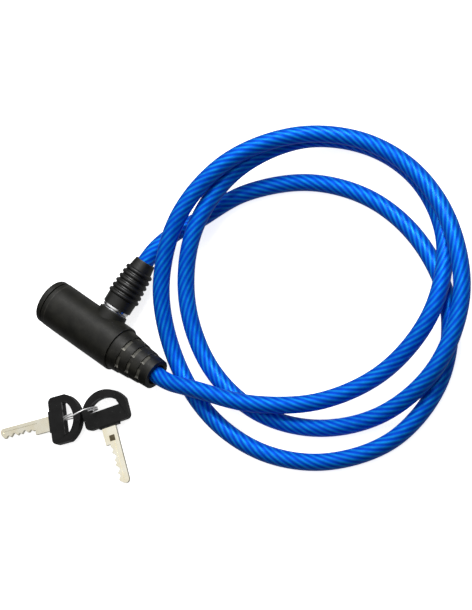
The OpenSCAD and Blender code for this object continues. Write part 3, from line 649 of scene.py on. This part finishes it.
# %% [markdown]
# ## Round pieces
# Most of the lock is turned or moulded round an axis. Such a piece is one outline, half of its
# section, spun about the axis. A lathe modifier (Screw) could do the same, but the bmesh spin
# leaves plain geometry that the next steps can cut and soften.
#
# Outlines are in millimetres, as (along, out) corners. Along the barrel they count as X does, and
# along the plug from the barrel's axis outwards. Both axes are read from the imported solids.
# %% Axes of the lock
low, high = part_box("barrel_shell")
shell_from, shell_to = low[0] / mm, high[0] / mm
shell_r = (high[2] - low[2]) / 2 / mm
barrel_axis = Vector((0, low[1] + shell_r * mm, low[2] + shell_r * mm))
boss_top = (high[1] - barrel_axis.y) / mm
low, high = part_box("plug_sleeve")
plug_axis = Vector(((low[0] + high[0]) / 2, barrel_axis.y, (low[2] + high[2]) / 2))
sleeve_from, sleeve_to = (low[1] - plug_axis.y) / mm, (high[1] - plug_axis.y) / mm

ALONG_BARREL = Matrix.Translation(barrel_axis) @ Matrix.Rotation(math.radians(90), 4, "Y")
ALONG_PLUG = Matrix.Translation(plug_axis) @ Matrix.Rotation(math.radians(-90), 4, "X")
print("shell", shell_from, shell_to, "radius", round(shell_r, 2), "boss top", round(boss_top, 2))

# %% Lathe and soft edges


def lathe(corners, sides=128, start=0.0):
    """Spins a closed outline of (along, out) corners about Z, starting at an angle in degrees."""
    bm = bmesh.new()
    bm.loops.layers.float.new("edge")
    dots = [bm.verts.new((out * mm, 0, along * mm)) for along, out in corners]
    for a, b in zip(dots, dots[1:] + dots[:1]):
        bm.edges.new((a, b))
    begin = Matrix.Rotation(math.radians(start), 3, "Z")
    bmesh.ops.rotate(bm, verts=bm.verts, cent=(0, 0, 0), matrix=begin)
    bmesh.ops.spin(
        bm, geom=bm.verts[:] + bm.edges[:], cent=(0, 0, 0), axis=(0, 0, 1),
        angle=2 * math.pi, steps=sides, use_merge=True,
    )
    bmesh.ops.remove_doubles(bm, verts=bm.verts, dist=1e-7)
    bmesh.ops.recalc_face_normals(bm, faces=bm.faces)
    return bm


def arc(along, out, radius, from_angle, to_angle, steps):
    """Points of an arc in an outline. 0 degrees points along the axis, 90 away from it."""
    turned = to_angle - from_angle
    angles = [math.radians(from_angle + turned * k / steps) for k in range(steps + 1)]
    return [(along + radius * math.cos(a), out + radius * math.sin(a)) for a in angles]


def soften(bm, width, segments=2, sharper_than=30.0, where=None):
    """Rounds the sharp edges and marks the new faces as edges that rub pale and carry a painted highlight.
    """
    sharp = [
        e for e in bm.edges
        if e.is_manifold and e.calc_face_angle() > math.radians(sharper_than)
        and (where is None or where((e.verts[0].co + e.verts[1].co) / 2))
    ]
    made = bmesh.ops.bevel(
        bm, geom=sharp, affect="EDGES", offset=width * mm, offset_type="OFFSET",
        segments=segments, profile=0.5, material=-1, clamp_overlap=True,
    )
    worn_and_lit = bm.loops.layers.float["edge"]
    for face in made["faces"]:
        for loop in face.loops:
            loop[worn_and_lit] = 1.0


def stand_in(made, stands_for, body):
    """Lets an object stand for its construction piece.

    Large faces decide its shading, so that a rounded edge doesn't darken them.
    """
    made.modifiers.new("even_normals", "WEIGHTED_NORMAL").keep_sharp = True
    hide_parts(stands_for)
    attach(made, body)
    print(made.name, "faces", len(made.data.polygons))


def place_piece(name, bm, matrix, *materials, stands_for, slot, body):
    """Puts a finished bmesh where it belongs, as the stand-in of a construction piece."""
    bmesh.ops.transform(bm, matrix=matrix, verts=bm.verts)
    stand_in(as_object(name, bm, *materials), stands_for, body)


# %% [markdown]
# ### Barrel shell
# The shell is a moulded tube with a boss on its side, where the plug goes in. Two round solids
# are joined and two bores are cut, with the Boolean modifier, since no single outline makes a
# tube with a branch. The result is copied into a plain mesh, so that no helper object stays.
# %% Join and cut


def combine(body, tool, operation):
    """Joins, or cuts, one closed object with another, and removes the tool."""
    step = body.modifiers.new("combine", "BOOLEAN")
    step.operation = operation
    step.solver = "EXACT"
    step.object = tool
    bpy.context.view_layer.update()
    ready = body.evaluated_get(bpy.context.evaluated_depsgraph_get())
    shape = bpy.data.meshes.new_from_object(ready)
    body.modifiers.clear()
    body.data = shape
    bpy.data.objects.remove(tool)
    too_close = 2e-6
    bm = bmesh.new()
    bm.from_mesh(shape)
    bmesh.ops.remove_doubles(bm, verts=bm.verts, dist=too_close)
    bmesh.ops.dissolve_degenerate(bm, edges=bm.edges, dist=too_close)
    bm.to_mesh(shape)
    bm.free()


def round_tool(name, begin, end, radius, matrix):
    """A plain rod, as the tool that cuts a bore."""
    bm = lathe([(begin, 0), (begin, radius), (end, radius), (end, 0)])
    bmesh.ops.transform(bm, matrix=matrix, verts=bm.verts)
    return as_object(name, bm)


# %% Barrel shell
shell_bore, socket_bore, past_the_end = 12.4, 6.25, 1
boss_from, socket_from, boss_r, boss_foot_r = 9, 5, 8.75, 9.7
line_at, line_w, line_depth = shell_from + 2.6, 0.35, 0.15

bm = lathe([
    (shell_from, 0), (shell_from, shell_r), (line_at - line_w, shell_r),
    (line_at, shell_r - line_depth), (line_at + line_w, shell_r),
    (shell_to, shell_r), (shell_to, 0),
])
soften(bm, 0.4, 3, where=lambda p: p.xy.length > 13 * mm)
bmesh.ops.transform(bm, matrix=ALONG_BARREL, verts=bm.verts)
moulded_shell = as_object("moulded_shell", bm, barrel_black)
bm = lathe([(boss_from, 0), (boss_from, boss_foot_r), (boss_top, boss_r), (boss_top, 0)])
soften(bm, 0.45, 3, where=lambda p: p.z > 10 * mm)
bmesh.ops.transform(bm, matrix=ALONG_PLUG, verts=bm.verts)
combine(moulded_shell, as_object("boss", bm), "UNION")
bore = round_tool(
    "barrel_bore", shell_from - past_the_end, shell_to + past_the_end, shell_bore, ALONG_BARREL
)
combine(moulded_shell, bore, "DIFFERENCE")
socket = round_tool("socket_bore", socket_from, boss_top + past_the_end, socket_bore, ALONG_PLUG)
combine(moulded_shell, socket, "DIFFERENCE")
moulded_shell.data.set_sharp_from_angle(angle=SHARP_ANGLE)
stand_in(moulded_shell, "barrel_shell", "root")

# %% [markdown]
# ### End cap
# The cap closes the end with the key entry. Its outer edge is well rounded, and a groove in its
# rim marks the joint with the shell. It is a hair smaller than the shell, as on the construction
# model.
# %% End cap
low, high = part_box("end_cap")
cap_from, spigot_to = low[0] / mm, high[0] / mm
cap_r = (high[2] - low[2]) / 2 / mm
cap_round, key_entry_r, core_bore, spigot_r = 1.4, 5.5, 5.0, 12.35
cap_joint_w, cap_joint_depth = 0.8, 1.2

bm = lathe(
    [(cap_from, key_entry_r)]
    + arc(cap_from + cap_round, cap_r - cap_round, cap_round, 180, 90, 6)
    + [(shell_from - cap_joint_w, cap_r), (shell_from - cap_joint_w, cap_r - cap_joint_depth),
       (shell_from, cap_r - cap_joint_depth), (shell_from, spigot_r), (spigot_to, spigot_r),
       (spigot_to, core_bore), (shell_from, core_bore), (shell_from, key_entry_r)]
)
soften(bm, 0.2, 3, where=lambda p: p.z < (shell_from - 0.2) * mm)
place_piece(
    "rounded_cap", bm, ALONG_BARREL, barrel_black, stands_for="end_cap", slot="shell", body="root"
)

# %% [markdown]
# ### Tail boot
# The boot keeps the cable from kinking where it leaves the barrel. It is stepped into rings with a groove at
# each joint, so that it can flex, and windows are let into the joints. First the rings are spun. Then the
# faces of each window are extruded inwards, onto a floor of its own radius, and the floor rises in a ramp at
# one end. The floor is painted a paler grey, as painted light, and the ramp paler still, as a painted
# highlight. A Boolean could cut the windows too, but not give the ramp and the floor their own finish so
# easily.
# %% Boot outline
boot_rings, boot_l = 4, 29.0
boot_to = shell_to + boot_l
ring_l = boot_l / boot_rings
boot_r, ring_drop, ring_taper = 12.75, 0.95, 0.6
ring_joint_w, ring_joint_depth = 0.35, 0.45
window_before, window_after, window_depth, window_rise = 0.4, 1.8, 0.9, 0.0875
boot_spigot_l, seam = 2.2, 0.1
cable_bore, recess_r, recess_l = 5.3, 6.4, 4.0
ferrule_seat, ferrule_seat_l = 6.25, 17
slope = ring_taper / ring_l

outline = [
    (shell_to - boot_spigot_l, ferrule_seat), (shell_to - boot_spigot_l, spigot_r),
    (shell_to + seam, spigot_r),
]
for ring in range(boot_rings):
    begins = shell_to + ring * ring_l
    radius = boot_r - ring * ring_drop
    if ring:
        bottom = radius - ring_joint_depth
        outline += [
            (begins, bottom), (begins + ring_joint_w, bottom), (begins + ring_joint_w, radius),
            (begins + window_after, radius - slope * window_after),
        ]
    else:
        outline.append((begins + seam, radius))
    if ring < boot_rings - 1:
        window_at = ring_l - window_before
        outline.append((begins + window_at, radius - slope * window_at))
    outline.append((begins + ring_l, radius - ring_taper))
outline += [
    (boot_to, recess_r), (boot_to - recess_l, recess_r), (boot_to - recess_l, cable_bore),
    (shell_to + ferrule_seat_l, cable_bore), (shell_to + ferrule_seat_l, ferrule_seat),
]

# %% Boot windows
boot_sides, window_count = 120, 6
window_middle, window_turn, ramp_turn = 152, 39.0, 6.0
first_window = window_middle - window_turn / 2
pitch_turn = 360 / window_count
outside_from = 8.5


def turn_in_window(p):
    """Degrees from the beginning of the nearest window to this point."""
    return (math.degrees(math.atan2(p.y, p.x)) - first_window + 1) % pitch_turn - 1


bm = lathe(outline, boot_sides, first_window)
for ring in range(1, boot_rings):
    joint = shell_to + ring * ring_l
    floor = boot_r - ring * ring_drop - window_depth + ring * window_rise
    faces = []
    for face in bm.faces:
        c = face.calc_center_median()
        in_turn = turn_in_window(c) < window_turn
        in_width = joint - window_before < c.z / mm < joint + window_after
        if in_turn and in_width and c.xy.length > outside_from * mm:
            faces.append(face)
    grown = bmesh.ops.extrude_face_region(bm, geom=faces)["geom"]
    bmesh.ops.delete(bm, geom=[f for f in faces if f.is_valid], context="FACES_KEEP_BOUNDARY")
    for v in [g for g in grown if isinstance(g, bmesh.types.BMVert)]:
        rise = (turn_in_window(v.co) - window_turn + ramp_turn) / ramp_turn
        out = v.co.xy.length
        new_out = floor * mm + (out - floor * mm) * min(max(rise, 0), 1)
        v.co.xy = v.co.xy * (new_out / out)
    for face in [g for g in grown if isinstance(g, bmesh.types.BMFace)]:
        on_ramp = turn_in_window(face.calc_center_median()) > window_turn - ramp_turn
        # Floor faces take the painted light, ramp faces the painted highlight.
        face.material_index = 2 if on_ramp else 1
bmesh.ops.remove_doubles(bm, verts=bm.verts, dist=1e-6)
bmesh.ops.dissolve_degenerate(bm, edges=bm.edges, dist=1e-6)
bmesh.ops.recalc_face_normals(bm, faces=bm.faces)
soften(bm, 0.12, 2, where=lambda p: p.xy.length > 8 * mm)
place_piece(
    "stepped_boot", bm, ALONG_BARREL, boot_black, window_painted_light, ramp_painted_highlight,
    stands_for="tail_boot", slot="boot", body="root",
)

# %% [markdown]
# ### Plug: sleeve and collar
# The sleeve is a rubber moulding that is pushed over the plug. Its ribs are half circles that
# grow smaller towards the cable, and the neck above them grips the sheath. The outline goes up
# the outside rib by rib, and comes back down through the bores for the cable and the plug's head.
# %% Ribbed sleeve
sleeve_r, plain_l = 8.9, 6.6
rib_count, rib_pitch, rib_r = 6, 3.3, 1.3
first_crest, last_crest = 10.0, 8.7
first_rib = sleeve_from + plain_l + rib_r
neck_from = first_rib + (rib_count - 1) * rib_pitch + rib_r
neck_root, neck_mouth = 7.2, 6.2
cup_to, cup_r = sleeve_from + 15.05, 6.35
head_to, head_r = sleeve_from + 2.05, 7.25

outline = [(sleeve_from, head_r), (sleeve_from, sleeve_r), (first_rib - rib_r, sleeve_r + 0.1)]
for rib in range(rib_count):
    crest = first_crest + (last_crest - first_crest) * rib / (rib_count - 1)
    outline += arc(first_rib + rib * rib_pitch, crest - rib_r, rib_r, 172, 8, 12)
outline += [
    (neck_from + 0.1, neck_root), (sleeve_to - 0.6, neck_mouth + 0.1), (sleeve_to, neck_mouth),
    (sleeve_to, cable_bore), (cup_to, cable_bore), (cup_to, cup_r), (head_to, cup_r),
    (head_to, head_r),
]
bm = lathe(outline, 112)
soften(
    bm, 0.3, 3, 40,
    where=lambda p: p.z < (sleeve_from + 0.5) * mm or p.z > (neck_from + 0.5) * mm,
)
place_piece(
    "ribbed_sleeve", bm, ALONG_PLUG, sleeve_black,
    stands_for="plug_sleeve", slot="sleeve", body="plug",
)

# %% [markdown]
# The collar is a turned, chromed ring under the sleeve, and the flange below it is the rim of the
# steel bush that lines the socket. Between them is a narrow dark gap.
# %% Collar and bush
low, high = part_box("plug_collar")
collar_from, collar_to = (low[1] - plug_axis.y) / mm, (high[1] - plug_axis.y) / mm
collar_bore, collar_r = 4.55, 8.2
bm = lathe([
    (collar_from, collar_bore), (collar_from, collar_r),
    (collar_to, collar_r), (collar_to, collar_bore),
])
soften(bm, 0.35, 4)
place_piece(
    "bright_collar", bm, ALONG_PLUG, chrome, stands_for="plug_collar", slot="chrome", body="plug"
)

bush_l, bush_r, flange_r, flange_t, plug_bore = 6.6, 6.2, 7.8, 0.7, 4.58
bm = lathe([
    (boss_top - bush_l, plug_bore), (boss_top - bush_l, bush_r), (boss_top, bush_r),
    (boss_top, flange_r), (boss_top + flange_t, flange_r), (boss_top + flange_t, plug_bore),
])
soften(bm, 0.15, 2)
place_piece(
    "flanged_bush", bm, ALONG_PLUG, steel, stands_for="socket_bush", slot="steel", body="root"
)

# %% [markdown]
# ## Keys
# A key is a stamped blade in a moulded bow. Each lies with its slot on the split ring and its tip
# on the table, so one matrix per key holds its place, its heading and its small tilt.
# %% Key places
bow_t, blade_t = 4.5, 2.0
key_height = 6.25 * mm
tip_down = math.radians(6.0917)


def key_place(x, y, heading):
    """Local X runs from the slot to the blade's tip."""
    turn = Matrix.Rotation(math.radians(heading), 4, "Z")
    return Matrix.Translation((x, y, key_height)) @ turn @ Matrix.Rotation(tip_down, 4, "Y")


KEY_1 = key_place(-0.0028, -0.0339, -136)
KEY_2 = key_place(0.0114, -0.0156, -40.5)

# %% [markdown]
# ### Bows
# The bow's outline is a disc that is trimmed by planes, with its two front corners rounded. The
# slot is a smaller disc, trimmed in the same way. A bridge between the two outlines gives the
# face with its hole, an extrusion gives the thickness, and a bevel rounds the rims. Drawing the
# outline as a list of points would give the same shape, but hide the two circles it comes from.
# %% Bow outline


def trimmed_disc(radius, centre_x, front, half_w):
    """A filled disc, cut off straight in front and at both sides."""
    bm = bmesh.new()
    bmesh.ops.create_circle(bm, cap_ends=True, radius=radius * mm, segments=160)
    bmesh.ops.translate(bm, verts=bm.verts, vec=(centre_x * mm, 0, 0))
    for point, away in (
        ((front, 0, 0), (1, 0, 0)), ((0, half_w, 0), (0, 1, 0)), ((0, -half_w, 0), (0, -1, 0))
    ):
        everything = bm.verts[:] + bm.edges[:] + bm.faces[:]
        bmesh.ops.bisect_plane(
            bm, geom=everything, plane_co=Vector(point) * mm, plane_no=away, clear_outer=True
        )
    return bm


def thicken(bm, faces, height):
    """Extrudes flat faces upwards into a plate."""
    grown = bmesh.ops.extrude_face_region(bm, geom=faces)["geom"]
    lifted = [g for g in grown if isinstance(g, bmesh.types.BMVert)]
    bmesh.ops.translate(bm, verts=lifted, vec=(0, 0, height * mm))


def key_bow():
    """The moulded bow, lying in its own frame."""
    back_r, back_reach, front, half_w, corner = 15.7, 8.2, 12.9, 14.3, 3.0
    slot_l, slot_w, slot_end = 19.0, 6.4, 2.0
    rise = slot_w - slot_end
    slot_r = ((slot_l / 2) ** 2 + rise ** 2) / (2 * rise)
    near = 0.01
    bm = trimmed_disc(back_r, back_r - back_reach, front, half_w)
    bm.loops.layers.float.new("edge")
    corners = [
        v for v in bm.verts
        if v.co.x > (front - near) * mm and abs(v.co.y) > (half_w - near) * mm
    ]
    bmesh.ops.bevel(
        bm, geom=corners, affect="VERTICES", offset=corner * mm, segments=6, profile=0.5,
        material=-1,
    )
    slot = trimmed_disc(slot_r, slot_r - slot_w / 2, slot_w / 2, slot_l / 2)
    outline = bpy.data.meshes.new("slot_outline")
    slot.to_mesh(outline)
    slot.free()
    bm.from_mesh(outline)
    bpy.data.meshes.remove(outline)
    bmesh.ops.delete(bm, geom=bm.faces[:], context="FACES_ONLY")
    bmesh.ops.bridge_loops(bm, edges=bm.edges[:])
    thicken(bm, bm.faces[:], bow_t)
    bmesh.ops.translate(bm, verts=bm.verts, vec=(0, 0, -bow_t / 2 * mm))
    bmesh.ops.recalc_face_normals(bm, faces=bm.faces)

    def in_slot(p):
        return abs(p.y) < (slot_l / 2 + 0.1) * mm and abs(p.x) < (slot_w / 2 + 0.1) * mm

    soften(bm, 0.4, 3, 60, where=in_slot)
    soften(bm, 0.9, 4, 60, where=lambda p: not in_slot(p))
    return bm


def bow_foot():
    """The raised foot of the bow, round the blade."""
    front, length, width, height, sunk = 12.9, 1.3, 13.0, 3.6, 2
    bm = bmesh.new()
    bm.loops.layers.float.new("edge")
    bmesh.ops.create_cube(bm, size=1)
    bmesh.ops.scale(bm, verts=bm.verts, vec=((length + sunk) * mm, width * mm, height * mm))
    bmesh.ops.translate(bm, verts=bm.verts, vec=((front + length / 2 - sunk / 2) * mm, 0, 0))
    soften(bm, 0.4, 3)
    return bm


for number, matrix in ((1, KEY_1), (2, KEY_2)):
    bow = as_object(f"key_{number}_moulded_bow", key_bow(), bow_black)
    combine(bow, as_object("foot", bow_foot()), "UNION")
    bow.data.transform(matrix)
    bow.data.set_sharp_from_angle(angle=SHARP_ANGLE)
    stand_in(bow, f"key_{number}_bow", f"key_{number}")

# %% [markdown]
# ### Blades
# A blade is stamped from nickel silver: a shoulder, a narrower blade with cuts in one edge, and a
# round nose. The outline is a chain of corners, with the cuts made by a loop. It is filled,
# extruded and softened. Cutting planes then mark out the stamp, a square recess on one side, and
# the milled groove on both sides, and those faces are pushed in.
# %% Blade
CUTS = ((27.6, 1.0), (32.0, 1.8), (35.6, 0.9), (39.6, 1.9), (43.8, 1.2))  # (place, depth)


def key_blade(stamp_side):
    """The blade in its own frame: its cuts towards +Y, its stamp above (1) or below (-1)."""
    root, shoulder_to, reach = 11.0, 24.4, 49.0
    cut_side, blade_w, shoulder_w = 2.3, 6.2, 9.0
    low_side = cut_side - blade_w
    nose_r, flat, flank = 2.4, 0.4, 0.45
    corners = [(root, low_side)]
    corners += arc(reach - nose_r, low_side + nose_r, nose_r, -90, 45, 8)
    corners.append((reach - nose_r, cut_side))
    for at, depth in reversed(CUTS):
        corners += [
            (at + depth + flank, cut_side), (at + flat, cut_side - depth),
            (at - flat, cut_side - depth), (at - depth - flank, cut_side),
        ]
    back_side = low_side + shoulder_w
    corners += [(shoulder_to, cut_side), (shoulder_to, back_side), (root, back_side)]
    bm = bmesh.new()
    bm.loops.layers.float.new("edge")
    for x, y in corners:
        bm.verts.new((x * mm, y * mm, -blade_t / 2 * mm))
    bmesh.ops.remove_doubles(bm, verts=bm.verts, dist=1e-6)
    thicken(bm, [bm.faces.new(bm.verts[:])], blade_t)
    bmesh.ops.recalc_face_normals(bm, faces=bm.faces)
    soften(bm, 0.12, 2, 60)
    stamp_from, stamp_w, mill_w, mill_to = 19.2, 3.5, 1.0, 47.0
    stamp_to, stamp_half = stamp_from + stamp_w, stamp_w / 2
    mill_low = low_side + 2.2
    mill_high = mill_low + mill_w
    push_depth, push_wall = 0.35, 0.02
    marks_at = [((x, 0, 0), (1, 0, 0)) for x in (stamp_from, stamp_to, mill_to)]
    marks_at += [((0, y, 0), (0, 1, 0)) for y in (stamp_half, -stamp_half, mill_low, mill_high)]
    for point, away in marks_at:
        everything = bm.verts[:] + bm.edges[:] + bm.faces[:]
        bmesh.ops.bisect_plane(bm, geom=everything, plane_co=Vector(point) * mm, plane_no=away)
    for side in (1, -1):
        for pushed, index in (("stamp", 1), ("mill", 0)):
            faces = []
            for face in bm.faces:
                c = face.calc_center_median() / mm
                in_stamp = stamp_from < c.x < stamp_to and abs(c.y) < stamp_half
                in_mill = stamp_to < c.x < mill_to and mill_low < c.y < mill_high
                wanted = (in_stamp and side == stamp_side) if pushed == "stamp" else in_mill
                if wanted and face.normal.z * side > 0.9 and c.z * side > blade_t / 2 - 0.01:
                    faces.append(face)
            if faces:
                bmesh.ops.inset_region(
                    bm, faces=faces, thickness=push_wall * mm, depth=-push_depth * mm
                )
                for face in faces:
                    face.material_index = index
    return bm


# Both keys are cut alike. Key 2 lies the other way up, so its stamp shows and key 1's doesn't.
MIRRORED = Matrix.Scale(-1, 4, (0, 1, 0))
for number, matrix, stamp_side in ((1, KEY_1, -1), (2, KEY_2 @ MIRRORED, 1)):
    bm = key_blade(stamp_side)
    bmesh.ops.transform(bm, matrix=matrix, verts=bm.verts)
    bmesh.ops.recalc_face_normals(bm, faces=bm.faces)
    place_piece(
        f"key_{number}_cut_blade", bm, Matrix.Identity(4), nickel, stamped,
        stands_for=f"key_{number}_blade", slot="blade", body=f"key_{number}",
    )

# %% [markdown]
# ### Split ring
# The ring is a flat wire with round edges, wound to two turns that lie on each other. One turn
# steps over to the other in a short stretch. Three spins make it: nearly a turn, the step, in
# which each move also shifts the section along the axis, and the rest of the second turn.
# %% Split ring
ring_r, wire_out, wire_along, wire_round, turn_pitch = 10.0, 1.4, 0.8, 0.28, 1.25
ring_begins, degrees_a_move = -100, 5
ring_lean = math.radians(12.5)
ring_out = ring_r + wire_out / 2
ring_z = ring_out * math.cos(ring_lean) + (wire_along + turn_pitch) / 2 * math.sin(ring_lean)
RING = (
    Matrix.Translation((0.0039, -0.0278, ring_z * mm))
    @ Matrix.Rotation(math.radians(50), 4, "Z") @ Matrix.Rotation(ring_lean, 4, "X")
)

bm = bmesh.new()
bm.loops.layers.float.new("edge")
bmesh.ops.create_grid(bm, x_segments=1, y_segments=1, size=0.5)
bmesh.ops.scale(bm, verts=bm.verts, vec=(wire_out * mm, wire_along * mm, 1))
bmesh.ops.bevel(
    bm, geom=bm.verts[:], affect="VERTICES", offset=wire_round * mm, segments=3, profile=0.5,
    material=-1,
)
bmesh.ops.translate(bm, verts=bm.verts, vec=(ring_r * mm, turn_pitch / 2 * mm, 0))
begin = Matrix.Rotation(math.radians(ring_begins), 3, "Y")
bmesh.ops.rotate(bm, verts=bm.verts, cent=(0, 0, 0), matrix=begin)
bmesh.ops.delete(bm, geom=bm.faces[:], context="FACES_ONLY")
section = bm.verts[:] + bm.edges[:]
for turned, shift in ((315, 0), (40, -turn_pitch), (305, 0)):
    steps = turned // degrees_a_move
    section = bmesh.ops.spin(
        bm, geom=section, cent=(0, 0, 0), axis=(0, -1, 0), angle=math.radians(turned), steps=steps,
        dvec=(0, shift / steps * mm, 0),
    )["geom_last"]
bmesh.ops.holes_fill(bm, edges=[e for e in bm.edges if e.is_boundary])
bmesh.ops.remove_doubles(bm, verts=bm.verts, dist=1e-7)
bmesh.ops.recalc_face_normals(bm, faces=bm.faces)
place_piece("wound_ring", bm, RING, ring_plate, stands_for="split_ring", slot="ring", body="root")

# %% [markdown]
# ## Finishes of the pieces that keep their solids
# The pieces inside the lock are turned, stamped or cast to the shapes of the construction model,
# so they keep its meshes and only get their metal.
# %% Paint the construction pieces
keeps = {
    "lock_housing": zinc, "key_core": brass, "wafer_set": brass, "wafer_springs": steel,
    "core_clip": steel, "drive_cam": steel, "latch_plate": steel, "latch_spring": steel,
    "tail_ferrule": steel, "ferrule_pin": steel, "tail_rope_end": steel, "plug_pin": chrome,
    "plug_ferrule": steel, "plug_rope_end": steel,
}
for node, material in keeps.items():
    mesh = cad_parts[node].data
    mesh.materials.clear()
    mesh.materials.append(material)
print("painted", len(keeps), "construction pieces")
